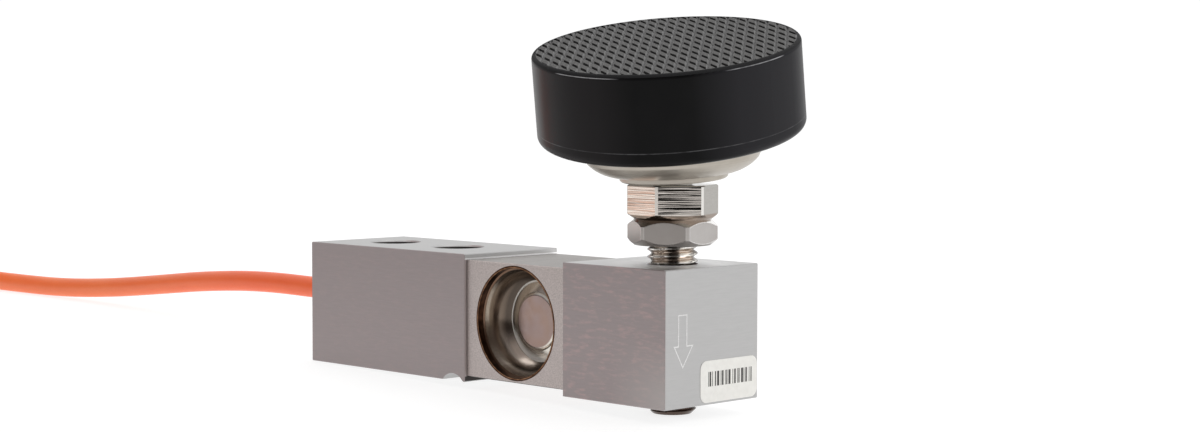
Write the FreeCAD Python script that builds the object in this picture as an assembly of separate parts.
import FreeCAD, Part
import math
import os

# Shear beam load cell with a swivel foot on its load end, in millimetres.
# Origin: middle of the two mounting holes, on the beam's bottom face.
# +X runs along the beam to the load end, +Z is up.

# Beam
beam_length = 130.0
beam_side = 31.8
cable_end_x = -28.4
edge_break = 0.2
mount_hole_spacing = 25.4
mount_hole_radius = 6.5
mount_hole_chamfer = 0.5
load_hole_x = 88.9
groove_x = 28.85
groove_radius = 4.9
groove_depth = 1.9

# Waist, where the beam is thinned and pocketed for the strain gauges
waist_start = 33.3
waist_end = 68.3
waist_side_step = 0.9
waist_height_step = 1.4
pocket_radius = 13.7
web_thickness = 4.0
cup_seat_radius = 14.0
cup_seat_depth = 0.4

# Wiring passage from the cable gland to the rear pocket
wiring_y = 9.0
wiring_radius = 1.7
wiring_bend_x = 27.0
wiring_pocket_x = 39.0
wiring_pocket_y = 4.8
cross_hole_radius = 1.8

# Gauges and wiring inside the pockets
gauge_size = (8.4, 6.4, 0.2)
gauge_z = 16.9
strip_size = (11.0, 4.4, 0.8)
strip_z = 6.4
strip_pitch = 2.6
bridge_wire_radius = 0.3
bridge_wire_pitch = 1.3
lead_wire_radius = 0.15
conductor_radius = 0.5
conductor_offset = 0.55
conductor_pad_start_z = 4.7
conductor_pad_rise = 1.2
conductor_run_y = 4.07
conductor_squeeze = 0.6
conductor_stagger = 1.2

# Cable gland
gland_thread_radius = 5.0
gland_bore_depth = 8.0
gland_flats = 13.0
gland_ring_thickness = 0.8
gland_hex_length = 4.5
gland_spigot_radius = 5.3
gland_spigot_length = 5.5
gland_cap_length = 9.0
cable_radius = 3.0

# Foot stud and lock nut
thread_radius = 6.0
stud_end_z = -3.2
stud_end_chamfer = 1.3
nut_bottom_z = 36.3
nut_height = 6.0
nut_flats = 19.0
nut_corner_radius = 10.7
nut_chamfer = (1.7, 1.45)
nut_corner_angle = 32.5
hex_flats = 19.0
hex_corner_radius = 10.75
hex_top_z = 50.4
hex_chamfer = (1.75, 1.3)
hex_corner_angle = -7.0
neck_radius = 4.6

# Ball joint under the dish
ball_z = 56.5
ball_radius = 7.5
ball_play = 0.15
seat_radius = 9.0
seat_rim_height = -2.4
retainer_radius = 12.7
retainer_bottom = -4.85
retainer_top = -3.65
dish_lean = 5.5
dish_lean_azimuth = -80.0

# Dish: shallow bowl, then a spherical rim that the pad is snapped over
bowl_flat_radius = 13.2
bowl_middle = (17.6, -2.3)
bowl_edge_height = -0.4
rim_centre_height = 10.75
rim_radius = 22.9
rim_top_height = 14.25

# Rubber pad
pad_tilt = 14.03
pad_tilt_azimuth = -63.8
pad_bottom_radius = 31.4
pad_top_radius = 31.2
pad_thickness = 21.2
pad_bottom_fillet = 2.2
pad_top_fillet = 1.0
pad_socket_height = 5.0
pad_socket_play = 0.3
pad_ceiling_height = 12.8

# Diamond tread on the pad: two sets of V grooves
tread_pitch = 2.42
tread_angles = (-51.3, -23.3)
tread_depth = 0.55
tread_width = 0.9
tread_margin = 0.1

# Cable route from the gland, and the coil of the length that is put away
cable_route = [
    (-21.5, 9.0, 15.9),
    (-52.0, 9.0, 15.9),
    (-84.0, 9.2, 16.3),
    (-112.0, 9.2, 14.6),
    (-138.0, 9.0, 11.8),
    (-163.0, 8.0, 9.2),
    (-187.0, 4.8, 7.8),
    (-208.0, 0.6, 8.2),
    (-226.0, -2.2, 8.7),
    (-243.0, 0.8, 9.5),
    (-258.0, 8.8, 10.4),
]
coil_entry_angle = 62.0
coil_outer_turn = 42.5
coil_inner_turn = 30.5
coil_layers = 6
tie_thickness = 0.9
tie_width = 5.0
tie_angle = 215.0
coil_slack = 0.3
lead_notch_angle = 50.0
lead_radius = 0.65

# Worked out from the sizes above
half_side = beam_side / 2
load_end_x = cable_end_x + beam_length
waist_half_width = half_side - waist_side_step
pocket_x = (waist_start + waist_end) / 2
web_half = web_thickness / 2
full_turn = 360.0

# The stud's end stands below the beam, so the table slopes from it to the beam's cable end
table_slope = -stud_end_z / (load_hole_x - thread_radius + stud_end_chamfer - cable_end_x)


def vec(x, y, z):
    return FreeCAD.Vector(x, y, z)


AXIS_X = vec(1, 0, 0)
AXIS_Y = vec(0, 1, 0)
AXIS_Z = vec(0, 0, 1)


def leaning(angle, azimuth):
    """Unit vector that leans from the vertical by an angle, towards an azimuth, in degrees."""
    lean = math.radians(angle)
    turn = math.radians(azimuth)
    return vec(math.sin(lean) * math.cos(turn), math.sin(lean) * math.sin(turn), math.cos(lean))


ball_centre = vec(load_hole_x, 0, ball_z)
dish_axis = leaning(dish_lean, dish_lean_azimuth)
pad_axis = leaning(pad_tilt, pad_tilt_azimuth)
rim_centre = ball_centre + dish_axis * rim_centre_height
pad_base = rim_centre - pad_axis * pad_socket_height


def moved_by(shape, placement):
    moved = shape.copy()
    moved.Placement = placement.multiply(shape.Placement)
    return moved


def placed(shape, origin, axis):
    """Shape moved so that its local Z lies along axis, and its local X as near +X as that leaves."""
    side = (AXIS_X - axis * axis.dot(AXIS_X)).normalize()
    other = axis.cross(side)
    matrix = FreeCAD.Matrix(
        side.x, other.x, axis.x, origin.x,
        side.y, other.y, axis.y, origin.y,
        side.z, other.z, axis.z, origin.z,
        0, 0, 0, 1,
    )
    return moved_by(shape, FreeCAD.Placement(matrix))


def box(x_range, y_range, z_range):
    size = [b - a for a, b in (x_range, y_range, z_range)]
    return Part.makeBox(*size, vec(x_range[0], y_range[0], z_range[0]))


def rod(start, end, radius):
    run = end - start
    return Part.makeCylinder(radius, run.Length, start, run)


def turned(start, *steps):
    """Solid turned about Z. A step is the next (r, z) point, or two: a point on an arc, and its end."""
    edges = []
    here = vec(start[0], 0, start[1])
    first = here
    for step in steps:
        if isinstance(step[0], tuple):
            middle, end = (vec(r, 0, z) for r, z in step)
            edges.append(Part.Arc(here, middle, end).toShape())
        else:
            end = vec(step[0], 0, step[1])
            edges.append(Part.makeLine(here, end))
        here = end
    if not here.isEqual(first, 1e-6):
        edges.append(Part.makeLine(here, first))
    face = Part.Face(Part.Wire(edges))
    return face.revolve(vec(0, 0, 0), AXIS_Z, full_turn)


def arc_middle(centre, radius, angle):
    return (centre[0] + radius * math.cos(angle), centre[1] + radius * math.sin(angle))


def hexagon(flats, length, corner_angle):
    """Hexagonal prism on Z, standing on z = 0, with a corner at the given angle."""
    radius = flats / math.sqrt(3)
    angles = [math.radians(corner_angle + 60 * k) for k in range(7)]
    corners = [vec(radius * math.cos(a), radius * math.sin(a), 0) for a in angles]
    return Part.Face(Part.makePolygon(corners)).extrude(vec(0, 0, length))


def wire_run(points, radius):
    """A wire through the points: straight rods with a ball at each bend and at the far end."""
    pieces = [rod(a, b, radius) for a, b in zip(points, points[1:])]
    balls = [Part.makeSphere(radius, p) for p in points[1:]]
    return pieces[0].multiFuse(pieces[1:] + balls).removeSplitter()


def save(name, shape):
    shape.exportStep("parts/%s.step" % name)
    print(name, "solids", len(shape.Solids), "volume", round(shape.Volume, 2), "valid", shape.isValid())


# Beam


def block(x_range, y_half, z_range):
    """A machined block with all its edges broken."""
    solid = box(x_range, (-y_half, y_half), z_range)
    return solid.makeChamfer(edge_break, solid.Edges)


def mount_hole(x):
    bore = Part.makeCylinder(mount_hole_radius, beam_side, vec(x, 0, 0))
    mouth = mount_hole_radius + mount_hole_chamfer
    lower = Part.makeCone(mouth, mount_hole_radius, mount_hole_chamfer, vec(x, 0, 0))
    upper_start = vec(x, 0, beam_side - mount_hole_chamfer)
    upper = Part.makeCone(mount_hole_radius, mouth, mount_hole_chamfer, upper_start)
    return [bore, lower, upper]


def pocket(side):
    """Pocket from one face of the waist down to the web, with the shallow seat of the cup's rim."""
    web_face = vec(pocket_x, side * web_half, half_side)
    depth = waist_half_width - web_half
    hole = Part.makeCylinder(pocket_radius, depth, web_face, AXIS_Y * side)
    seat_start = vec(pocket_x, side * (waist_half_width - cup_seat_depth), half_side)
    seat = Part.makeCylinder(cup_seat_radius, cup_seat_depth, seat_start, AXIS_Y * side)
    return [hole, seat]


def wiring_points():
    return (
        vec(cable_end_x, wiring_y, half_side),
        vec(wiring_bend_x, wiring_y, half_side),
        vec(wiring_pocket_x, wiring_pocket_y, half_side),
    )


def make_beam():
    overlap = edge_break * 2
    mount_end = block((cable_end_x, waist_start), half_side, (0, beam_side))
    load_end = block((waist_end, load_end_x), half_side, (0, beam_side))
    waist_x = (waist_start - overlap, waist_end + overlap)
    waist_z = (waist_height_step, beam_side - waist_height_step)
    waist = block(waist_x, waist_half_width, waist_z)
    body = mount_end.multiFuse([waist, load_end])
    groove_start = vec(groove_x, -half_side, groove_depth - groove_radius)
    tools = [Part.makeCylinder(groove_radius, beam_side, groove_start, AXIS_Y)]
    for side in (-1, 1):
        tools += mount_hole(side * mount_hole_spacing / 2)
        tools += pocket(side)
    entry, bend, inside = wiring_points()
    tools.append(rod(entry, entry + AXIS_X * gland_bore_depth, gland_thread_radius))
    tools.append(rod(entry, bend, wiring_radius))
    tools.append(Part.makeSphere(wiring_radius, bend))
    tools.append(rod(bend, inside, wiring_radius))
    cross_start = vec(pocket_x, -web_half, strip_z)
    tools.append(Part.makeCylinder(cross_hole_radius, web_thickness, cross_start, AXIS_Y))
    tools.append(Part.makeCylinder(thread_radius, beam_side, vec(load_hole_x, 0, 0)))
    return body.cut(tools).removeSplitter()


# Seal cups: thin pressed cups welded into the pockets


def make_seal_cup(side):
    """Turned with depth below the waist face as z, then laid on its side."""
    cup = turned(
        (0, -7.0),
        (6.3, -7.0),
        ((6.9, -7.2), (7.3, -7.6)),
        (10.0, -8.3),
        ((12.05, -6.5), (13.0, -3.2)),
        (13.0, -1.9),
        (13.4, -1.7),
        (13.4, 0),
        (cup_seat_radius, 0),
        (cup_seat_radius, -cup_seat_depth),
        (pocket_radius, -cup_seat_depth),
        (pocket_radius, -3.1),
        ((12.62, -6.75), (10.2, -8.85)),
        (7.1, -8.05),
        ((6.72, -7.7), (6.2, -7.5)),
        (0, -7.5),
    )
    return placed(cup, vec(pocket_x, side * waist_half_width, half_side), AXIS_Y * side)


# Gauges and wiring


def on_web(side, length, height, thickness, z):
    """A flat piece of that length and height on one face of the web."""
    low_y, high_y = sorted((side * web_half, side * (web_half + thickness)))
    x_range = (pocket_x - length / 2, pocket_x + length / 2)
    return box(x_range, (low_y, high_y), (z - height / 2, z + height / 2))


def make_strain_gauge(side):
    length, height, thickness = gauge_size
    gauge = on_web(side, length, height, thickness, gauge_z)
    gauge.rotate(vec(pocket_x, 0, gauge_z), AXIS_Y, 45)
    return gauge


def bridge_wire_places():
    half = bridge_wire_pitch / 2
    return [(pocket_x + dx, strip_z + dz) for dx in (-half, half) for dz in (-half, half)]


def make_bridge_wires():
    """Four short wires through the web, soldered into both terminal strips."""
    reach = web_half + strip_size[2]
    wires = []
    for x, z in bridge_wire_places():
        wires.append(rod(vec(x, -reach, z), vec(x, reach, z), bridge_wire_radius))
    return Part.makeCompound(wires)


def make_terminal_strip(side):
    length, height, thickness = strip_size
    board = on_web(side, length, height, thickness, strip_z)
    return board.cut(make_bridge_wires())


def make_gauge_leads(side):
    """Three fine wires from the gauge down to its terminal strip."""
    gauge_y = web_half + gauge_size[2] + lead_wire_radius
    strip_y = web_half + strip_size[2] + lead_wire_radius + 0.08
    strip_top = strip_z + strip_size[1] / 2
    leads = []
    for k in (-1, 0, 1):
        x = pocket_x + k * strip_pitch
        start = vec(x, side * gauge_y, gauge_z - 3.7)
        leads.append(rod(start, vec(x, side * strip_y, strip_top - 0.3), lead_wire_radius))
    return Part.makeCompound(leads)


def conductor_offsets():
    both = (-conductor_offset, conductor_offset)
    return [(dy, dz) for dz in both for dy in both]


def make_conductor(k):
    """One of the four conductors, from the cable's end through the passage to its solder pad."""
    dy, dz = conductor_offsets()[k]
    _, bend, inside = wiring_points()
    offset = vec(0, dy, dz)
    jacket_end = vec(cable_route[0][0], wiring_y, half_side)
    slant = (inside - bend).normalize()
    leaves = inside + slant * (conductor_stagger if dz > 0 else 0)
    pad_x = pocket_x + (k - 1.5) * strip_pitch
    pad_z = conductor_pad_start_z + k * conductor_pad_rise
    above_pad = vec(pad_x, conductor_run_y + dy * conductor_squeeze, pad_z)
    pad = vec(pad_x, web_half + strip_size[2] + conductor_radius, pad_z)
    points = [jacket_end + offset, bend + offset, leaves + offset, above_pad, pad]
    return wire_run(points, conductor_radius)


# Cable gland, on the end face


def on_end_face(shape):
    """A shape turned about Z, laid with its Z out of the end face, at the cable's place."""
    origin = vec(cable_end_x, wiring_y, half_side)
    turn = FreeCAD.Rotation(AXIS_Z, AXIS_X * -1)
    return moved_by(shape, FreeCAD.Placement(origin, turn))


def make_gland_body():
    """Z = 0 is the beam's end face, and Z points out of it."""
    hex_start = gland_ring_thickness
    hex_end = hex_start + gland_hex_length
    outer = turned(
        (0, 0.6 - gland_bore_depth),
        (gland_thread_radius, 0.6 - gland_bore_depth),
        (gland_thread_radius, hex_start),
        (gland_spigot_radius, hex_start),
        (gland_spigot_radius, hex_end + gland_spigot_length),
        (0, hex_end + gland_spigot_length),
    )
    nut = hexagon(gland_flats, gland_hex_length, 30)
    nut.translate(vec(0, 0, hex_start))
    bore = turned(
        (0, -gland_bore_depth),
        (cable_radius + 0.1, -gland_bore_depth),
        (cable_radius + 0.1, hex_end - 0.8),
        (4.6, hex_end - 0.8),
        (4.6, hex_end + gland_spigot_length + 1),
        (0, hex_end + gland_spigot_length + 1),
    )
    return on_end_face(outer.fuse(nut).cut(bore).removeSplitter())


def make_gland_o_ring():
    ring = turned(
        (gland_thread_radius, 0),
        (6.2, 0),
        ((6.45, 0.4), (6.2, gland_ring_thickness)),
        (gland_thread_radius, gland_ring_thickness),
    )
    return on_end_face(ring)


def make_gland_seal():
    """Rubber bush squeezed round the cable inside the gland."""
    start = gland_ring_thickness + gland_hex_length - 0.8
    end = gland_ring_thickness + gland_hex_length + gland_spigot_length
    bush = turned((cable_radius, start), (4.6, start), (4.6, end), (cable_radius, end))
    return on_end_face(bush)


def make_gland_cap():
    start = gland_ring_thickness + gland_hex_length + 0.4
    end = start + gland_cap_length
    inside_end = gland_ring_thickness + gland_hex_length + gland_spigot_length
    dome = turned(
        (0, start),
        (7.5, start),
        (7.5, end - 3.2),
        ((6.6, end - 1.1), (4.4, end)),
        (0, end),
    )
    body = hexagon(gland_flats, gland_cap_length, 30)
    body.translate(vec(0, 0, start))
    hole = turned(
        (0, start),
        (gland_spigot_radius, start),
        (gland_spigot_radius, inside_end),
        (cable_radius + 0.1, inside_end),
        (cable_radius + 0.1, end),
        (0, end),
    )
    return on_end_face(dome.common(body).cut(hole))


def make_entry_potting():
    """Resin plug that seals the passage behind the gland, round the conductors."""
    start = vec(cable_end_x + gland_bore_depth, wiring_y, half_side)
    plug = rod(start, start + AXIS_X * 6, wiring_radius)
    return plug.cut([make_conductor(k) for k in range(4)])


# Cable and its coil


def cable_path():
    """Straight runs joined by tangent arcs, each as large as its two runs allow."""
    points = [vec(*p) for p in cable_route]
    edges = []
    here = points[0]
    for before, corner, after in zip(points, points[1:], points[2:]):
        incoming = (corner - before).normalize()
        outgoing = (after - corner).normalize()
        turn = incoming.getAngle(outgoing)
        cut = 0.45 * min((corner - before).Length, (after - corner).Length)
        radius = cut / math.tan(turn / 2)
        bisector = (outgoing - incoming).normalize()
        middle = corner + bisector * (radius / math.cos(turn / 2) - radius)
        arc_start = corner - incoming * cut
        arc_end = corner + outgoing * cut
        edges.append(Part.LineSegment(here, arc_start).toShape())
        edges.append(Part.Arc(arc_start, middle, arc_end).toShape())
        here = arc_end
        print("cable bend radius", round(radius, 1))
    edges.append(Part.LineSegment(here, points[-1]).toShape())
    return Part.Wire(edges)


def make_cable():
    path = cable_path()
    start = vec(*cable_route[0])
    first_run = vec(*cable_route[1]) - start
    section = Part.Wire(Part.makeCircle(cable_radius, start, first_run))
    tube = path.makePipeShell([section], True, False)
    section_area = math.pi * cable_radius**2
    print("cable length", round(path.Length, 1), "section times length", round(section_area * path.Length, 1))
    return tube


def on_table(shape):
    """A shape made round Z on z = 0, set down on the sloping table at the coil's place."""
    entry = vec(*cable_route[-1])
    angle = math.radians(coil_entry_angle)
    centre_x = entry.x - coil_outer_turn * math.cos(angle)
    centre_y = entry.y - coil_outer_turn * math.sin(angle)
    contact_x = load_hole_x - thread_radius + stud_end_chamfer
    table_z = stud_end_z + (contact_x - centre_x) * table_slope
    turn = FreeCAD.Rotation(AXIS_Y, math.degrees(math.atan(table_slope)))
    return moved_by(shape, FreeCAD.Placement(vec(centre_x, centre_y, table_z), turn))


coil_out = coil_outer_turn + cable_radius + coil_slack
coil_in = coil_inner_turn - cable_radius - coil_slack
coil_bottom = tie_thickness
coil_top = coil_bottom + coil_layers * 2 * cable_radius + coil_slack
notch_in = coil_outer_turn - cable_radius - coil_slack
notch_floor = coil_top - 2 * cable_radius - coil_slack


def make_cable_coil():
    """Outer form of the wound turns, with the gap after the cable's end in the last turn."""
    soft = cable_radius
    lean = soft * (1 - math.sqrt(0.5))
    ring = turned(
        (coil_in + soft, coil_bottom),
        (coil_out - soft, coil_bottom),
        ((coil_out - lean, coil_bottom + lean), (coil_out, coil_bottom + soft)),
        (coil_out, coil_top - soft),
        ((coil_out - lean, coil_top - lean), (coil_out - soft, coil_top)),
        (coil_in + soft, coil_top),
        ((coil_in + lean, coil_top - lean), (coil_in, coil_top - soft)),
        (coil_in, coil_bottom + soft),
        ((coil_in + lean, coil_bottom + lean), (coil_in + soft, coil_bottom)),
    )
    corners = [
        vec(notch_in, 0, notch_floor),
        vec(coil_out + 1, 0, notch_floor),
        vec(coil_out + 1, 0, coil_top + 1),
        vec(notch_in, 0, coil_top + 1),
        vec(notch_in, 0, notch_floor),
    ]
    notch = Part.Face(Part.makePolygon(corners)).revolve(vec(0, 0, 0), AXIS_Z, lead_notch_angle)
    notch.rotate(vec(0, 0, 0), AXIS_Z, coil_entry_angle - lead_notch_angle)
    return on_table(ring.cut(notch))


def make_coil_tie():
    """Flat strap round the bundle of turns."""
    gap = coil_slack / 2
    inner = box((coil_in - gap, coil_out + gap), (-tie_width / 2, tie_width / 2), (coil_bottom, coil_top))
    edge = gap + tie_thickness
    outer = box(
        (coil_in - edge, coil_out + edge),
        (-tie_width / 2, tie_width / 2),
        (coil_bottom - tie_thickness, coil_top + tie_thickness),
    )
    strap = outer.cut(inner)
    strap.rotate(vec(0, 0, 0), AXIS_Z, tie_angle)
    return on_table(strap)


def make_flying_lead(k):
    """A stripped conductor at the cable's far end, lying in the gap of the last turn."""
    column = k % 2
    row = k // 2
    radius = coil_outer_turn - 1.2 + column * 2.4
    height = notch_floor + lead_radius + row * 2.1 * lead_radius
    start = coil_entry_angle - lead_notch_angle
    sweep = 40.0 - 3.0 * k
    circle = Part.makeCircle(lead_radius, vec(radius, 0, height), AXIS_Y)
    lead = Part.Face(Part.Wire(circle)).revolve(vec(0, 0, 0), AXIS_Z, sweep)
    lead.rotate(vec(0, 0, 0), AXIS_Z, start)
    return on_table(lead)


# Foot


def make_foot_stud():
    rod_top = nut_bottom_z + nut_height
    shank = turned(
        (0, stud_end_z),
        (thread_radius - stud_end_chamfer, stud_end_z),
        (thread_radius, stud_end_z + stud_end_chamfer),
        (thread_radius, rod_top),
        (0, rod_top),
    )
    cut, rise = hex_chamfer
    outline = turned(
        (0, rod_top),
        (hex_corner_radius - cut, rod_top),
        (hex_corner_radius, rod_top + rise),
        (hex_corner_radius, hex_top_z - 0.2),
        (hex_corner_radius - 0.3, hex_top_z),
        (0, hex_top_z),
    )
    head = hexagon(hex_flats, hex_top_z - rod_top, hex_corner_angle)
    head.translate(vec(0, 0, rod_top))
    neck = Part.makeCylinder(neck_radius, ball_z - hex_top_z, vec(0, 0, hex_top_z))
    ball = Part.makeSphere(ball_radius, vec(0, 0, ball_z))
    ball = ball.common(Part.makeCylinder(2 * ball_radius, 2 * ball_radius, vec(0, 0, hex_top_z)))
    stud = shank.multiFuse([head.common(outline), neck, ball]).removeSplitter()
    stud.translate(vec(load_hole_x, 0, 0))
    return stud


def make_lock_nut():
    cut, rise = nut_chamfer
    corner = nut_corner_radius
    outline = turned(
        (thread_radius, 0),
        (corner - cut, 0),
        (corner, rise),
        (corner, nut_height - rise),
        (corner - cut, nut_height),
        (thread_radius, nut_height),
    )
    nut = hexagon(nut_flats, nut_height, nut_corner_angle).common(outline)
    nut.translate(vec(load_hole_x, 0, nut_bottom_z))
    return nut


def make_ball_seat():
    """Bearing cup over the ball, open below."""
    inner = ball_radius + ball_play
    rim_in = math.sqrt(inner**2 - seat_rim_height**2)
    rim_out = math.sqrt(seat_radius**2 - seat_rim_height**2)
    diagonal = math.sqrt(0.5)
    cup = turned(
        (0, inner),
        ((inner * diagonal, inner * diagonal), (rim_in, seat_rim_height)),
        (rim_out, seat_rim_height),
        ((seat_radius * diagonal, seat_radius * diagonal), (0, seat_radius)),
    )
    cup.translate(ball_centre)
    return cup


def make_foot_dish():
    """Steel bowl over the ball seat. Z = 0 is the ball's centre."""
    bowl_edge = math.sqrt(rim_radius**2 - (rim_centre_height - bowl_edge_height) ** 2)
    rim_top = math.sqrt(rim_radius**2 - (rim_top_height - rim_centre_height) ** 2)
    bowl = turned(
        (0, retainer_top),
        (bowl_flat_radius, retainer_top),
        (bowl_middle, (bowl_edge, bowl_edge_height)),
        ((rim_radius, rim_centre_height), (rim_top, rim_top_height)),
        (0, rim_top_height),
    )
    socket = seat_radius + ball_play
    hollow = turned(
        (0, retainer_top),
        (socket, retainer_top),
        (socket, 0),
        ((socket * math.sqrt(0.5), socket * math.sqrt(0.5)), (0, socket)),
    )
    return placed(bowl.cut(hollow), ball_centre, dish_axis)


def make_retaining_ring():
    """Ring under the dish that keeps the ball in. Its hole follows the ball."""
    play = ball_radius + ball_play
    top_hole = math.sqrt(play**2 - retainer_top**2)
    bottom_hole = math.sqrt(play**2 - retainer_bottom**2)
    middle_height = (retainer_top + retainer_bottom) / 2
    middle_hole = math.sqrt(play**2 - middle_height**2)
    ring = turned(
        (bottom_hole, retainer_bottom),
        (retainer_radius - 0.3, retainer_bottom),
        (retainer_radius, retainer_bottom + 0.3),
        (retainer_radius, retainer_top),
        (top_hole, retainer_top),
        ((middle_hole, middle_height), (bottom_hole, retainer_bottom)),
    )
    return placed(ring, ball_centre, dish_axis)


def pad_body():
    """Z = 0 is the pad's underside."""
    socket = rim_radius + pad_socket_play
    mouth = math.sqrt(socket**2 - pad_socket_height**2)
    ceiling = math.sqrt(socket**2 - (pad_ceiling_height - pad_socket_height) ** 2)
    low_centre = (pad_bottom_radius - pad_bottom_fillet, pad_bottom_fillet)
    high_centre = (pad_top_radius - pad_top_fillet, pad_thickness - pad_top_fillet)
    eighth_turn = math.pi / 4
    return turned(
        (mouth, 0),
        (low_centre[0], 0),
        (arc_middle(low_centre, pad_bottom_fillet, -eighth_turn), (pad_bottom_radius, pad_bottom_fillet)),
        (pad_top_radius, high_centre[1]),
        (arc_middle(high_centre, pad_top_fillet, eighth_turn), (high_centre[0], pad_thickness)),
        (0, pad_thickness),
        (0, pad_ceiling_height),
        (ceiling, pad_ceiling_height),
        ((socket, pad_socket_height), (mouth, 0)),
    )


def tread_grooves():
    """Two sets of V grooves inside the rounded edge. They leave raised diamonds, one at the pad's middle."""
    spill = 0.2
    reach = pad_top_radius - pad_top_fillet - tread_margin
    field = Part.makeCylinder(reach, tread_depth + spill, vec(0, 0, pad_thickness - tread_depth))
    half = tread_width / 2 * (1 + spill / tread_depth)
    count = int(reach / tread_pitch)
    grooves = []
    for angle in tread_angles:
        for k in range(-count, count):
            across = (k + 0.5) * tread_pitch
            outline = [
                vec(-reach, across - half, pad_thickness + spill),
                vec(-reach, across, pad_thickness - tread_depth),
                vec(-reach, across + half, pad_thickness + spill),
                vec(-reach, across - half, pad_thickness + spill),
            ]
            groove = Part.Face(Part.makePolygon(outline)).extrude(AXIS_X * (2 * reach))
            groove.rotate(vec(0, 0, 0), AXIS_Z, angle)
            grooves.append(groove.common(field))
    return grooves


def make_rubber_pad():
    return placed(pad_body().cut(tread_grooves()), pad_base, pad_axis)


def main():
    os.makedirs("parts", exist_ok=True)
    save("beam", make_beam())
    for name, side in (("front", -1), ("rear", 1)):
        save(name + "_seal_cup", make_seal_cup(side))
        save(name + "_strain_gauge", make_strain_gauge(side))
        save(name + "_terminal_strip", make_terminal_strip(side))
        save(name + "_gauge_leads", make_gauge_leads(side))
    save("bridge_wires", make_bridge_wires())
    colours = ("red", "black", "green", "white")
    for k, colour in enumerate(colours):
        save("conductor_" + colour, make_conductor(k))
        save("flying_lead_" + colour, make_flying_lead(k))
    save("entry_potting", make_entry_potting())
    save("gland_body", make_gland_body())
    save("gland_o_ring", make_gland_o_ring())
    save("gland_seal", make_gland_seal())
    save("gland_cap", make_gland_cap())
    save("cable", make_cable())
    save("cable_coil", make_cable_coil())
    save("coil_tie", make_coil_tie())
    save("foot_stud", make_foot_stud())
    save("lock_nut", make_lock_nut())
    save("ball_seat", make_ball_seat())
    save("foot_dish", make_foot_dish())
    save("retaining_ring", make_retaining_ring())
    save("rubber_pad", make_rubber_pad())
    print("ball centre", ball_centre)
    print("rim centre", rim_centre)
    print("pad tilt axis", dish_axis.cross(pad_axis).normalize())
    print("pad to dish angle", round(math.degrees(dish_axis.getAngle(pad_axis)), 3))
    print("pad top middle", pad_base + pad_axis * pad_thickness, "axis", pad_axis)


main()
